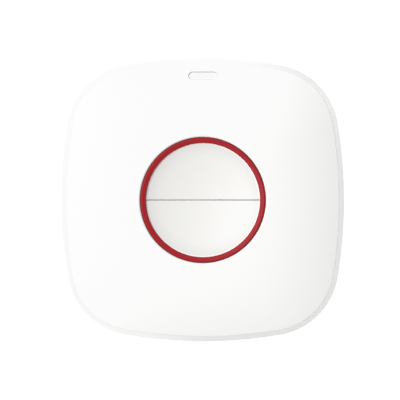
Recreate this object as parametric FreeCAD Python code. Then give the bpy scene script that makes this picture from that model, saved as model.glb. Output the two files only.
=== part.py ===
import FreeCAD, Part
import math
import os

# Wireless panic button: a square pillow-shaped transmitter with a round bezel and two half-disc keys.
# Millimetres. The origin is the centre of the back face, +Z points out of the front face,
# +Y points to the signal window, and +X is to the right, seen from the front.

Vec = FreeCAD.Vector

# Outline of the body at its widest, where the two covers meet
BODY_WIDTH = 60.0
SIDE_RADIUS = 98.5
CORNER_RADIUS = 14.8

# Skin of the body
PARTING_Z = 4.4
FACE_EDGE_Z = 13.4
SIDE_DRAFT = 1.2
DOME_RISE = 2.6
DOME_POWER = 3.4
DOME_GAUGES = (1.0, 0.92, 0.82, 0.70, 0.55, 0.36)
ROOF_GAUGES = (1.0, 0.86, 0.66, 0.36)
RIM_ROUND = 0.15
BACK_ROUND = 2.2
REVEAL = 0.25
FRONT_WALL = 1.5
ROOF = 1.6
FLOOR = 1.5

# Tongue and gasket between the covers
TONGUE_WALL = 1.0
TONGUE_HEIGHT = 1.5
TONGUE_CLEARANCE = 0.15
GASKET_INSET = 0.6
GASKET_WIDTH = 0.6
GASKET_DEPTH = 0.5
GASKET_CLEARANCE = 0.05

# Screws that close the covers, one in each corner
COVER_SCREW_INSET = 9.8
COVER_SCREW_SHANK = 1.0
COVER_SCREW_HEAD = 2.0
COVER_SCREW_HEAD_HEIGHT = 1.4
COVER_SCREW_SUNK = 0.6
COVER_SCREW_LENGTH = 7.0
FRONT_BOSS_RADIUS = 2.4
REAR_POST_RADIUS = 3.3
REAR_POST_TOP = 4.9
POST_GAP = 0.1
SCREW_CLEARANCE = 0.15
PILOT_CLEARANCE = 0.05
HEAD_CLEARANCE = 0.2
PILOT_SPARE = 0.6
CROSS_WIDTH_SHARE = 0.22
CROSS_LENGTH_SHARE = 1.1
CROSS_DEPTH_SHARE = 0.45

# Battery door, turned with a coin in the middle of the back
DOOR_MARGIN = 2.3
DOOR_RECESS = 0.2
DOOR_THICKNESS = 1.6
DOOR_EDGE_CHAMFER = 0.3
DOOR_CLEARANCE = 0.15
COIN_SLOT_LENGTH = 12.0
COIN_SLOT_WIDTH = 1.8
COIN_SLOT_DEPTH = 0.9
NECK_WALL = 0.8
NECK_CLEARANCE = 0.15
NECK_PAST_LUGS = 0.2
LUG_COUNT = 3
LUG_ANGLE = 24.0
LUG_REACH = 0.9
LUG_THICKNESS = 0.8
LUG_PLAY = 0.1
LUG_NOTCH_SPARE = 4.0
LUG_FIRST_ANGLE = 90.0
DOOR_TURN = 40.0
STOP_ANGLE = 4.5
STOP_GAP_ANGLE = 1.5
POINTER_LENGTH = 1.7
POINTER_WIDTH = 1.9
POINTER_EDGE = 0.9
MARK_RADIUS = 0.6
MARK_GAP = 1.5
MARK_DEPTH = 0.25
LEDGE_THICKNESS = 1.4
LEDGE_GAP = 0.1
DOOR_RING_WALL = 1.25
CAVITY_CLEARANCE = 0.2
HOLDER_GAP = 0.5
SEAL_CORD = 0.7
SEAL_EDGE = 0.4
SEAL_CLEARANCE = 0.05
SEAL_SIDES = 8

# Coin cell with its cushion and contacts
CELL_RADIUS = 12.25
CELL_HEIGHT = 5.0
CELL_CAP_RADIUS = 10.7
CELL_CAP_HEIGHT = 0.35
CELL_ROUND = 0.35
CELL_CLEARANCE = 0.25
HOLDER_CLEARANCE = 0.35
CUSHION_RADIUS = 9.0
CUSHION_THICKNESS = 0.4
CONTACT_GAP = 0.8
CONTACT_SHEET = 0.2
CONTACT_WIDTH = 3.0
CONTACT_PLAY = 0.03
NEGATIVE_PAD = 2.4
NEGATIVE_SLOPE = 3.3
NEGATIVE_FOOT = 3.0
NEGATIVE_TIP = 1.8
NEGATIVE_TIP_LIFT = 0.3
POSITIVE_FOOT = 2.2
POSITIVE_DROP = 0.6
POSITIVE_TIP = 0.4
HOLDER_WALL = 1.3
HOLDER_FLANGE = 3.4
HOLDER_FLANGE_THICKNESS = 0.6
HOLDER_NOTCH = 4.4
HOLDER_PEG_RADIUS = 0.5
HOLDER_PEG_HEIGHT = 0.8
HOLDER_PEG_ANGLES = (60.0, 240.0)

# Circuit board and what it stands on
BOARD_INSET = 3.2
BOARD_THICKNESS = 1.0
BOARD_NOTCH_CLEARANCE = 0.8
BOARD_FIXING_INSET = 7.5
BOARD_FIXING_Y = 11.0
BOARD_POST_RADIUS = 2.2
BOARD_SCREW_SHANK = 0.8
BOARD_SCREW_HEAD = 1.6
BOARD_SCREW_HEAD_HEIGHT = 0.9
BOARD_SCREW_LENGTH = 5.0
BOARD_PIN_RADIUS = 0.9
BOARD_HOLE_CLEARANCE = 0.15

# Keyholes in the back for two wall screws
KEYHOLE_EDGE = 5.2
KEYHOLE_ENTRY_RADIUS = 3.2
KEYHOLE_SLOT_RADIUS = 1.8
KEYHOLE_SLIDE = 5.6
KEYHOLE_ENTRY_Y = -2.5
KEYHOLE_DEPTH = 3.9
KEYHOLE_HEAD_CLEARANCE = 0.2
KEYHOLE_WALL = 0.8

# Round key opening, bezel and keys
HOLE_RADIUS = 13.3
HOLE_ROUND = 0.4
LAND_WIDTH = 3.1
LAND_DEPTH = 1.9
LAND_ROOT = 1.1
BEZEL_CLEARANCE = 0.06
BEZEL_SINK = 0.17
BEZEL_WIDTH = 1.2
BEZEL_SLOPE = 0.24
BEZEL_LIP = 0.35
BEZEL_ROUND = 0.14
BEZEL_FLANGE = 2.3
BEZEL_FLANGE_THICKNESS = 0.8
BEZEL_SKIRT = 1.35
GUIDE_RIB_WIDTH = 1.6
GUIDE_RIB_DEPTH = 0.6
GUIDE_RIB_HEIGHT = 1.8
GUIDE_CLEARANCE = 0.12
KEY_CLEARANCE = 0.15
KEY_OVERLAP = 0.54
KEY_RIM_PLAY = 0.05
KEY_SEAM = 0.1
KEY_SEAM_ROUND = 0.2
DISH_DEPTH = 1.5
KEY_SKIN = 0.85
KEY_WALL = 0.9
KEY_TRAVEL = 0.6
KEY_FLOOR_GAP = 0.15
KEY_BOSS_RADIUS = 2.0
KEY_BOSS_STANDS = 0.05
KEY_RIB = 0.8
KEY_RIB_LIFT = 0.25

# Silicone membrane and the plate that clamps it
MEMBRANE_THICKNESS = 0.4
NUB_RADIUS = 1.6
NUB_TIP_RADIUS = 1.0
NUB_PLAY = 0.02
FLEX_GROOVE_WIDTH = 1.4
FLEX_GROOVE_DEPTH = 0.15
RETAINER_MARGIN = 1.2
RETAINER_LIFT = 1.0
RETAINER_THICKNESS = 0.8
RETAINER_EAR_RADIUS = 2.1
RETAINER_SCREW_GAP = 0.6
RETAINER_BOSS_RADIUS = 1.7
RETAINER_SCREW_SHANK = 0.7
RETAINER_SCREW_HEAD = 1.3
RETAINER_SCREW_HEAD_HEIGHT = 0.75
RETAINER_SCREW_LENGTH = 2.6
WINDOW_CLEARANCE = 0.2

# Push switches under the keys
SWITCH_Y = 6.2
SWITCH_WIDTH = 5.2
SWITCH_HEIGHT = 1.2
SWITCH_TOP_PLATE = 0.3
SWITCH_BASE_PLATE = 0.2
SWITCH_LEG_REACH = 0.6
SWITCH_LEG_WIDTH = 0.8
SWITCH_LEG_PITCH = 3.2
SWITCH_LEG_THICKNESS = 0.25
PLUNGER_RADIUS = 1.0
PLUNGER_STANDS = 0.4
PLUNGER_TRAVEL = 0.3
PLUNGER_FLANGE = 0.3
PLUNGER_CLEARANCE = 0.05

# Signal window, light guide and lamp
WINDOW_LENGTH = 6.2
WINDOW_WIDTH = 1.7
WINDOW_INSET = 3.73
WINDOW_SINK = 0.3
WINDOW_FIT = 0.03
WINDOW_TOP_GAP = 0.09
GUIDE_LAND_Z = 11.9
GUIDE_FLANGE_LENGTH = 8.4
GUIDE_FLANGE_THICKNESS = 0.8
GUIDE_FLANGE_BACK = 2.1
GUIDE_FLANGE_FRONT = 0.4
GUIDE_FOOT_LENGTH = 3.6
GUIDE_LAND_MARGIN = 0.5
GUIDE_LAND_ROOT = 1.1
LAMP_SHIFT = 0.6
LAMP_LENGTH = 3.2
LAMP_WIDTH = 1.6
LAMP_HEIGHT = 1.1
LAMP_BASE = 0.5
LAMP_LENS = (2.1, 1.36)
LAMP_LENS_ROUND = 0.2
LAMP_GAP = 0.2

# Parts soldered to the front side of the board
CHIP_SIZE = 5.0
CHIP_HEIGHT = 0.8
CHIP_PLACE = (-9.0, 0.0)
CRYSTAL_SIZE = (3.2, 2.5, 0.7)
CRYSTAL_ROUND = 0.3
CRYSTAL_PLACE = (-9.2, 5.4)
SHIELD_LENGTH = 14.0
SHIELD_HEIGHT = 1.6
SHIELD_GAP_IN = 1.2
SHIELD_GAP_OUT = 1.3
SHIELD_SHEET = 0.25
SHIELD_VENT_RADIUS = 0.4
SHIELD_VENT_COLUMNS = 5
SHIELD_VENT_PITCH = 2.4
SHIELD_VENT_ROW_SHARE = 0.1875
CAPACITOR_RADIUS = 2.0
CAPACITOR_HEIGHT = 3.0
CAPACITOR_ROUND = 0.3
CAPACITOR_BASE = 4.3
CAPACITOR_BASE_HEIGHT = 0.6
CAPACITOR_GAP = 6.7
CAPACITOR_INSET = 9.0
SMALL_PART = (1.6, 0.8, 0.6)
SMALL_PART_PLACES = (
    (-14.2, -3.4, 90), (-14.2, -1.1, 90), (-14.2, 1.2, 90), (-14.2, 3.5, 90),
    (-9.6, -4.6, 0), (-7.0, -4.6, 0), (6.0, -2.6, 0), (6.0, 0.0, 0), (6.0, 2.6, 0),
    (9.6, -1.8, 90), (9.6, 1.8, 90),
)
TOP_PART_INSET = 7.6
TOP_PART_PLACES = (8.6, 11.4)
BOTTOM_PART_INSET = 9.6
BOTTOM_PART_PLACES = (-10.4, 10.4, 12.6)

# Antenna, a stamped strip that stands along the bottom edge of the board
ANTENNA_EDGE = 0.8
ANTENNA_SHEET = 0.3
ANTENNA_HALF_ANGLE = 8.8
ANTENNA_LIFT = 0.8
ANTENNA_HEIGHT = 1.8
ANTENNA_LEG_ANGLE = 0.7
ANTENNA_LEG_ANGLES = (-8.8, -5.0, 8.1)

# Heights worked out from the back towards the front
DOOR_INNER_Z = DOOR_RECESS + DOOR_THICKNESS
LEDGE_Z = DOOR_INNER_Z + LEDGE_GAP
LEDGE_TOP_Z = LEDGE_Z + LEDGE_THICKNESS
LUG_Z = LEDGE_TOP_Z + LUG_PLAY
LUG_TOP_Z = LUG_Z + LUG_THICKNESS
NECK_TOP_Z = LUG_TOP_Z + NECK_PAST_LUGS
HOLDER_Z = NECK_TOP_Z + HOLDER_GAP
CELL_Z = DOOR_INNER_Z + CUSHION_THICKNESS
CELL_TOP_Z = CELL_Z + CELL_HEIGHT
BOARD_Z = CELL_TOP_Z + CONTACT_GAP
BOARD_TOP_Z = BOARD_Z + BOARD_THICKNESS
SWITCH_TOP_Z = BOARD_TOP_Z + SWITCH_HEIGHT
PLUNGER_TOP_Z = SWITCH_TOP_Z + PLUNGER_STANDS
RETAINER_Z = BOARD_TOP_Z + RETAINER_LIFT
RETAINER_TOP_Z = RETAINER_Z + RETAINER_THICKNESS
MEMBRANE_TOP_Z = RETAINER_TOP_Z + MEMBRANE_THICKNESS
KEY_FLOOR_Z = MEMBRANE_TOP_Z + KEY_TRAVEL + KEY_FLOOR_GAP
KEY_BOSS_Z = KEY_FLOOR_Z + KEY_BOSS_STANDS
FRONT_BOSS_Z = REAR_POST_TOP + POST_GAP

# Radii and insets worked out from the same values
BODY_HALF = BODY_WIDTH / 2
NECK_INNER = CELL_RADIUS + CELL_CLEARANCE
NECK_OUTER = NECK_INNER + NECK_WALL
LEDGE_BORE = NECK_OUTER + NECK_CLEARANCE
LUG_OUTER = NECK_OUTER + LUG_REACH
CAVITY_RADIUS = LUG_OUTER + CAVITY_CLEARANCE
DOOR_RADIUS = NECK_OUTER + DOOR_MARGIN
COUNTERBORE_RADIUS = DOOR_RADIUS + DOOR_CLEARANCE
DOOR_RING_RADIUS = COUNTERBORE_RADIUS + DOOR_RING_WALL
SEAL_OUTER = DOOR_RADIUS - SEAL_EDGE
HOLDER_BORE = CELL_RADIUS + HOLDER_CLEARANCE
HOLDER_OUTER = HOLDER_BORE + HOLDER_WALL
COLLAR_RADIUS = HOLE_RADIUS - BEZEL_CLEARANCE
LIP_RADIUS = COLLAR_RADIUS - BEZEL_WIDTH
KEY_RADIUS = LIP_RADIUS + KEY_OVERLAP
KEY_BORE = KEY_RADIUS + KEY_CLEARANCE
SKIRT_RADIUS = KEY_BORE + BEZEL_SKIRT
FLANGE_RADIUS = COLLAR_RADIUS + BEZEL_FLANGE
RETAINER_RADIUS = FLANGE_RADIUS + RETAINER_MARGIN
DISH_RADIUS = LIP_RADIUS

# Places worked out from the outline and from the pieces beside them
COVER_SCREW_PLACE = BODY_HALF - COVER_SCREW_INSET
RETAINER_SCREW_RADIUS = HOLE_RADIUS + LAND_WIDTH + RETAINER_SCREW_GAP + RETAINER_BOSS_RADIUS
RETAINER_SCREW_PLACE = RETAINER_SCREW_RADIUS / math.sqrt(2)
BOARD_FIXING_X = BODY_HALF - BOARD_FIXING_INSET
KEYHOLE_X = (DOOR_RING_RADIUS + BODY_HALF - KEYHOLE_EDGE) / 2
WINDOW_Y = BODY_HALF - WINDOW_INSET
LAMP_Y = WINDOW_Y - LAMP_SHIFT
ANTENNA_OUTER = SIDE_RADIUS - BOARD_INSET - ANTENNA_EDGE
ANTENNA_INNER = ANTENNA_OUTER - ANTENNA_SHEET
SHIELD_LOW_Y = SIDE_RADIUS - BODY_HALF - ANTENNA_INNER + SHIELD_GAP_OUT
SHIELD_HIGH_Y = -RETAINER_RADIUS - SHIELD_GAP_IN
SHIELD_Y = (SHIELD_LOW_Y + SHIELD_HIGH_Y) / 2
SHIELD_WIDTH = SHIELD_HIGH_Y - SHIELD_LOW_Y
CAPACITOR_PLACE = (CAPACITOR_GAP - COVER_SCREW_PLACE, BODY_HALF - CAPACITOR_INSET)


def point(angle, radius, centre=(0.0, 0.0), z=0.0):
    """Point at an angle in degrees and a radius about a centre."""
    turn = math.radians(angle)
    return Vec(centre[0] + radius * math.cos(turn), centre[1] + radius * math.sin(turn), z)


def arc(start, end, radius, centre, z):
    """Arc edge between two angles about a centre."""
    mid = (start + end) / 2
    ends = [point(a, radius, centre, z) for a in (start, mid, end)]
    return Part.Arc(*ends).toShape()


def squircle(half, side_radius, corner_radius, z):
    """Closed outline of four bowed sides and four corner arcs that run into each other."""
    back = side_radius - half
    reach = side_radius - corner_radius
    corner = (math.sqrt(2 * reach**2 - back**2) - back) / 2
    lean = math.degrees(math.atan2(corner, corner + back))
    edges = []
    for quarter in range(4):
        turn = 90.0 * quarter
        side_centre = point(turn + 180.0, back)
        corner_centre = point(turn + 45.0, corner * math.sqrt(2))
        edges.append(arc(turn - lean, turn + lean, side_radius, side_centre, z))
        edges.append(arc(turn + lean, turn + 90.0 - lean, corner_radius, corner_centre, z))
    return Part.Wire(edges)


def outline(inset, z, share=1.0):
    """The body's outline moved in by an inset, and scaled about the middle for the crown."""
    return squircle(
        share * (BODY_HALF - inset),
        share * (SIDE_RADIUS - inset),
        share * (CORNER_RADIUS - inset),
        z,
    )


def slab(inset, low, high):
    """Straight prism of the body's outline moved in by an inset."""
    return Part.Face(outline(inset, low)).extrude(Vec(0, 0, high - low))


def rim(inset, width, low, high):
    """Closed band that follows the outline."""
    return slab(inset, low, high).cut(slab(inset + width, low, high))


def disc(radius, low, high, x=0.0, y=0.0):
    return Part.makeCylinder(radius, high - low, Vec(x, y, low))


def ring(outer, inner, low, high, x=0.0, y=0.0):
    return disc(outer, low, high, x, y).cut(disc(inner, low, high, x, y))


def block(x0, x1, y0, y1, z0, z1):
    return Part.makeBox(x1 - x0, y1 - y0, z1 - z0, Vec(x0, y0, z0))


def centred_block(size, x, y, low, turn=0.0):
    """Block of a given length, width and height, centred on a place and turned about Z."""
    length, width, height = size
    shape = block(-length / 2, length / 2, -width / 2, width / 2, 0, height)
    shape.rotate(Vec(), Vec(0, 0, 1), turn)
    shape.translate(Vec(x, y, low))
    return shape


def sector(outer, inner, middle, angle, low, high):
    """Part of a ring about a middle angle, both in degrees."""
    start, end = middle - angle / 2, middle + angle / 2
    edges = [
        arc(start, end, outer, (0, 0), low),
        Part.makeLine(point(end, outer, z=low), point(end, inner, z=low)),
        arc(end, start, inner, (0, 0), low),
        Part.makeLine(point(start, inner, z=low), point(start, outer, z=low)),
    ]
    return Part.Face(Part.Wire(edges)).extrude(Vec(0, 0, high - low))


def pill(length, width, low, high, x=0.0, y=0.0, upright=False):
    """Slot shape with round ends, along X or upright along Y."""
    end = width / 2
    run = length / 2 - end
    if upright:
        middle = block(x - end, x + end, y - run, y + run, low, high)
        ends = [disc(end, low, high, x, y + side * run) for side in (-1, 1)]
    else:
        middle = block(x - run, x + run, y - end, y + end, low, high)
        ends = [disc(end, low, high, x + side * run, y) for side in (-1, 1)]
    return middle.fuse(ends).removeSplitter()


def turned(profile):
    """Solid of revolution about Z from points of radius and height, the first one repeated."""
    wire = Part.makePolygon([Vec(r, 0, z) for r, z in profile])
    return Part.Face(wire).revolve(Vec(), Vec(0, 0, 1), 360)


def eased(profile, index, reach):
    """The profile with one corner replaced by a small round of two flats."""
    corner = profile[index]
    ways = []
    for other in (profile[index - 1], profile[index + 1]):
        run = math.hypot(other[0] - corner[0], other[1] - corner[1])
        ways.append(((other[0] - corner[0]) / run, (other[1] - corner[1]) / run))
    inward = 1 - math.sqrt(0.5)
    first, last = [(corner[0] + reach * dr, corner[1] + reach * dz) for dr, dz in ways]
    middle = tuple(corner[i] + reach * inward * (ways[0][i] + ways[1][i]) for i in (0, 1))
    return profile[:index] + [first, middle, last] + profile[index + 1:]


def round_edges(shape, radius, height):
    """Round every circular edge that lies at one height."""
    edges = [e for e in shape.Edges if abs(e.BoundBox.ZMin - height) < 1e-6 > e.BoundBox.ZLength]
    return shape.makeFillet(radius, edges)


def upright_edges(shape):
    """The straight edges of a block that run along Z."""
    return [e for e in shape.Edges if e.BoundBox.ZLength > 1e-3]


def ribbon(path, sheet, width):
    """Strip bent along a path of (x, z) points, as wide as given along Y, with mitred bends."""
    points = [Vec(x, -width / 2, z) for x, z in path]
    runs = [(b - a).normalize() for a, b in zip(points, points[1:])]
    left, right = [], []
    for at, before, after in zip(points, runs[:1] + runs, runs + runs[-1:]):
        side = Vec(-before.z - after.z, 0, before.x + after.x).normalize()
        spread = side * (sheet / 2 / side.dot(Vec(-before.z, 0, before.x)))
        left.append(at + spread)
        right.append(at - spread)
    edge = left + right[::-1]
    return Part.Face(Part.makePolygon(edge + edge[:1])).extrude(Vec(0, width, 0))


def corners(place):
    """The four places of a square pattern."""
    return [(sx * place, sy * place) for sx in (-1, 1) for sy in (-1, 1)]


def screw(x, y, seat, shank, length, head, head_height, way):
    """Screw whose head bears at a height and whose shank runs up (way 1) or down (way -1)."""
    tip = seat + way * length
    top = seat - way * head_height
    body = disc(shank, min(seat, tip), max(seat, tip), x, y)
    cap = disc(head, min(seat, top), max(seat, top), x, y)
    depth = head_height * CROSS_DEPTH_SHARE
    low = top if way > 0 else top - depth
    size = (head * CROSS_LENGTH_SHARE, head * CROSS_WIDTH_SHARE, depth)
    cross = [centred_block(size, x, y, low, turn) for turn in (0.0, 90.0)]
    return body.fuse(cap).cut(cross[0].fuse(cross[1])).removeSplitter()


def draft_at(z):
    """How far the drafted side stands in at a height."""
    return SIDE_DRAFT * (z - PARTING_Z) / (FACE_EDGE_Z - PARTING_Z)


def pillow(skin, sunk, gauges=DOME_GAUGES):
    """Solid under the domed face, moved in by a skin at the sides and sunk below the face."""
    edge_z = FACE_EDGE_Z - sunk
    edge_inset = skin + draft_at(edge_z)
    foot = [outline(skin, PARTING_Z)]
    if skin == 0:
        foot = [outline(REVEAL, PARTING_Z), outline(draft_at(PARTING_Z + REVEAL), PARTING_Z + REVEAL)]
    side = Part.makeLoft(foot + [outline(edge_inset, edge_z)], True, True)
    crown = []
    for gauge in gauges:
        crown.append(outline(edge_inset, edge_z + DOME_RISE * (1 - gauge**DOME_POWER), gauge))
    return side.fuse(Part.makeLoft(crown, True, False))


def face_z(x, y):
    """Height of the outer face above a point on one of the body's axes."""
    gauge = max(abs(x), abs(y)) / (BODY_HALF - SIDE_DRAFT)
    return FACE_EDGE_Z + DOME_RISE * (1 - gauge**DOME_POWER)


# Heights of the bezel and keys, worked out from the face down
BEZEL_TOP_Z = face_z(HOLE_RADIUS, 0) - BEZEL_SINK
LIP_TOP_Z = BEZEL_TOP_Z - BEZEL_SLOPE
LIP_Z = LIP_TOP_Z - BEZEL_LIP
LAND_Z = face_z(HOLE_RADIUS, 0) - LAND_DEPTH
KEY_RIM_Z = LIP_Z - KEY_RIM_PLAY
DISH_Z = KEY_RIM_Z - DISH_DEPTH
DISH_BALL = (DISH_RADIUS**2 + DISH_DEPTH**2) / (2 * DISH_DEPTH)
GUIDE_RIB_TOP_Z = MEMBRANE_TOP_Z + GUIDE_RIB_HEIGHT


def front_cover():
    """Domed front moulding with the key opening, screw bosses and the seat of the light guide."""
    skin = pillow(0, 0)
    skin = round_edges(skin, RIM_ROUND, FACE_EDGE_Z)
    shell = skin.cut(pillow(FRONT_WALL, ROOF, ROOF_GAUGES))
    inside = [disc(HOLE_RADIUS + LAND_WIDTH, LAND_Z, LAND_Z + LAND_ROOT)]
    for x, y in corners(COVER_SCREW_PLACE):
        inside.append(disc(FRONT_BOSS_RADIUS, FRONT_BOSS_Z, FACE_EDGE_Z, x, y))
    for x, y in corners(RETAINER_SCREW_PLACE):
        inside.append(disc(RETAINER_BOSS_RADIUS, RETAINER_TOP_Z, FACE_EDGE_Z + ROOF / 2, x, y))
    land_half = GUIDE_FLANGE_LENGTH / 2 + GUIDE_LAND_MARGIN
    land_back = WINDOW_Y - GUIDE_FLANGE_BACK - GUIDE_LAND_MARGIN
    land_front = BODY_HALF - draft_at(GUIDE_LAND_Z) - FRONT_WALL / 2
    land_top = GUIDE_LAND_Z + GUIDE_LAND_ROOT
    inside.append(block(-land_half, land_half, land_back, land_front, GUIDE_LAND_Z, land_top))
    shell = shell.fuse(inside)
    shell = shell.cut(disc(HOLE_RADIUS, PARTING_Z, FACE_EDGE_Z + 2 * DOME_RISE))
    mouth = [e for e in shell.Edges if is_mouth_edge(e)]
    shell = shell.makeFillet(HOLE_ROUND, mouth)
    holes = [pill(WINDOW_LENGTH, WINDOW_WIDTH, BOARD_TOP_Z, FACE_EDGE_Z + DOME_RISE, 0, WINDOW_Y)]
    pilot_top = COVER_SCREW_SUNK + COVER_SCREW_HEAD_HEIGHT + COVER_SCREW_LENGTH + PILOT_SPARE
    for x, y in corners(COVER_SCREW_PLACE):
        holes.append(disc(COVER_SCREW_SHANK + PILOT_CLEARANCE, FRONT_BOSS_Z, pilot_top, x, y))
    pilot_top = RETAINER_Z + RETAINER_SCREW_LENGTH + PILOT_SPARE / 2
    for x, y in corners(RETAINER_SCREW_PLACE):
        holes.append(disc(RETAINER_SCREW_SHANK + PILOT_CLEARANCE, RETAINER_TOP_Z, pilot_top, x, y))
    return shell.cut(holes)


def is_mouth_edge(edge):
    """True for the edges where the key opening meets the outer face."""
    box = edge.BoundBox
    on_bore = all(abs(math.hypot(v.X, v.Y) - HOLE_RADIUS) < 1e-3 for v in edge.Vertexes)
    return on_bore and box.ZMin > face_z(HOLE_RADIUS, 0) - 0.3 and box.ZLength < 0.3


def keyhole(x):
    """Blind pocket for a wall screw: round entry, narrow slot above it and room for the head."""
    slot_y = KEYHOLE_ENTRY_Y + KEYHOLE_SLIDE
    head = KEYHOLE_ENTRY_RADIUS + KEYHOLE_HEAD_CLEARANCE
    length = KEYHOLE_SLIDE + 2 * head
    middle = (KEYHOLE_ENTRY_Y + slot_y) / 2
    pocket = pill(length, 2 * head, FLOOR, KEYHOLE_DEPTH, x, middle, upright=True)
    entry = disc(KEYHOLE_ENTRY_RADIUS, 0, FLOOR, x, KEYHOLE_ENTRY_Y)
    slot_end = disc(KEYHOLE_SLOT_RADIUS, 0, FLOOR, x, slot_y)
    slot = block(x - KEYHOLE_SLOT_RADIUS, x + KEYHOLE_SLOT_RADIUS, KEYHOLE_ENTRY_Y, slot_y, 0, FLOOR)
    wall = 2 * KEYHOLE_WALL
    roof = KEYHOLE_DEPTH + KEYHOLE_WALL
    housing = pill(length + wall, 2 * head + wall, FLOOR, roof, x, middle, upright=True)
    return housing, [pocket, entry, slot_end, slot]


def rear_cover():
    """Back moulding with the door seat and its marks, keyholes, posts, tongue and gasket groove."""
    tongue_inset = FRONT_WALL + draft_at(PARTING_Z + TONGUE_HEIGHT) + TONGUE_CLEARANCE
    body = round_edges(slab(0, 0, PARTING_Z), BACK_ROUND, 0)
    top = [e for e in body.Edges if abs(e.BoundBox.ZMin - PARTING_Z) < 1e-6]
    body = body.makeChamfer(REVEAL, top)
    body = body.cut(slab(tongue_inset + TONGUE_WALL, FLOOR, PARTING_Z))
    added = [rim(tongue_inset, TONGUE_WALL, PARTING_Z - TONGUE_HEIGHT, PARTING_Z + TONGUE_HEIGHT)]
    added.append(disc(DOOR_RING_RADIUS, 0, HOLDER_Z))
    cuts = [rim(GASKET_INSET - GASKET_CLEARANCE, GASKET_WIDTH + 2 * GASKET_CLEARANCE,
                PARTING_Z - GASKET_DEPTH, PARTING_Z)]
    cuts.append(disc(COUNTERBORE_RADIUS, 0, LEDGE_Z))
    cuts.append(disc(LEDGE_BORE, LEDGE_Z, LEDGE_TOP_Z))
    cuts.append(disc(CAVITY_RADIUS, LEDGE_TOP_Z, HOLDER_Z))
    stops = []
    for lug in range(LUG_COUNT):
        closed = LUG_FIRST_ANGLE + lug * 360.0 / LUG_COUNT
        opened = closed - DOOR_TURN
        notch = LUG_ANGLE + LUG_NOTCH_SPARE
        cuts.append(sector(CAVITY_RADIUS, NECK_OUTER, opened, notch, LEDGE_Z, LEDGE_TOP_Z))
        reach = LUG_ANGLE / 2 + STOP_GAP_ANGLE + STOP_ANGLE / 2
        for middle in (closed + reach, opened - reach):
            stops.append(sector((CAVITY_RADIUS + DOOR_RING_RADIUS) / 2, LEDGE_BORE, middle,
                                STOP_ANGLE, LEDGE_TOP_Z, NECK_TOP_Z))
    for side in (-1, 1):
        housing, pockets = keyhole(side * KEYHOLE_X)
        added.append(housing)
        cuts += pockets
    seat = COVER_SCREW_SUNK + COVER_SCREW_HEAD_HEIGHT
    for x, y in corners(COVER_SCREW_PLACE):
        added.append(disc(REAR_POST_RADIUS, FLOOR, REAR_POST_TOP, x, y))
        cuts.append(disc(COVER_SCREW_HEAD + HEAD_CLEARANCE, 0, seat, x, y))
        cuts.append(disc(COVER_SCREW_SHANK + SCREW_CLEARANCE, seat, REAR_POST_TOP, x, y))
    for angle, core in ((LUG_FIRST_ANGLE, 0), (LUG_FIRST_ANGLE - DOOR_TURN, MARK_RADIUS / 2)):
        at = point(angle, COUNTERBORE_RADIUS + MARK_GAP)
        mark = disc(MARK_RADIUS, 0, MARK_DEPTH, at.x, at.y)
        cuts.append(mark.cut(disc(core, 0, MARK_DEPTH, at.x, at.y)) if core else mark)
    pins = []
    for side in (-1, 1):
        x, y = side * BOARD_FIXING_X, BOARD_FIXING_Y
        added.append(disc(BOARD_POST_RADIUS, FLOOR, BOARD_Z, x, -side * y))
        added.append(disc(BOARD_POST_RADIUS, FLOOR, BOARD_Z, x, side * y))
        pilot = BOARD_TOP_Z - BOARD_SCREW_LENGTH - PILOT_SPARE
        cuts.append(disc(BOARD_SCREW_SHANK + PILOT_CLEARANCE, pilot, BOARD_Z, x, -side * y))
        pins.append(disc(BOARD_PIN_RADIUS, BOARD_Z, BOARD_TOP_Z, x, side * y))
    return body.fuse(added).cut(cuts).fuse(stops + pins).removeSplitter()


def cover_gasket():
    return rim(GASKET_INSET, GASKET_WIDTH, PARTING_Z - GASKET_DEPTH, PARTING_Z)


def cover_screws():
    seat = COVER_SCREW_SUNK + COVER_SCREW_HEAD_HEIGHT
    return [
        screw(x, y, seat, COVER_SCREW_SHANK, COVER_SCREW_LENGTH, COVER_SCREW_HEAD,
              COVER_SCREW_HEAD_HEIGHT, 1)
        for x, y in corners(COVER_SCREW_PLACE)
    ]


def battery_door():
    """Round door with a coin slot and pointer, a neck with bayonet lugs and a seal groove."""
    plate = disc(DOOR_RADIUS, DOOR_RECESS, DOOR_INNER_Z)
    edge = [e for e in plate.Edges if abs(e.BoundBox.ZMax - DOOR_RECESS) < 1e-6]
    plate = plate.makeChamfer(DOOR_EDGE_CHAMFER, edge)
    parts = [ring(NECK_OUTER, NECK_INNER, DOOR_INNER_Z, NECK_TOP_Z)]
    for lug in range(LUG_COUNT):
        middle = LUG_FIRST_ANGLE + lug * 360.0 / LUG_COUNT
        inner = NECK_OUTER - NECK_WALL / 2
        parts.append(sector(LUG_OUTER, inner, middle, LUG_ANGLE, LUG_Z, LUG_TOP_Z))
    groove = ring(SEAL_OUTER + SEAL_CLEARANCE, SEAL_OUTER - SEAL_CORD - SEAL_CLEARANCE,
                  LEDGE_Z - SEAL_CORD - SEAL_CLEARANCE, DOOR_INNER_Z)
    slot = pill(COIN_SLOT_LENGTH, COIN_SLOT_WIDTH, DOOR_RECESS, DOOR_RECESS + COIN_SLOT_DEPTH)
    tip = DOOR_RADIUS - POINTER_EDGE
    half = POINTER_WIDTH / 2
    pointer = [Vec(0, tip, DOOR_RECESS)]
    pointer += [Vec(side * half, tip - POINTER_LENGTH, DOOR_RECESS) for side in (-1, 1)]
    pointer = Part.Face(Part.makePolygon(pointer + pointer[:1])).extrude(Vec(0, 0, MARK_DEPTH))
    return plate.fuse(parts).cut([groove, slot, pointer]).removeSplitter()


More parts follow.
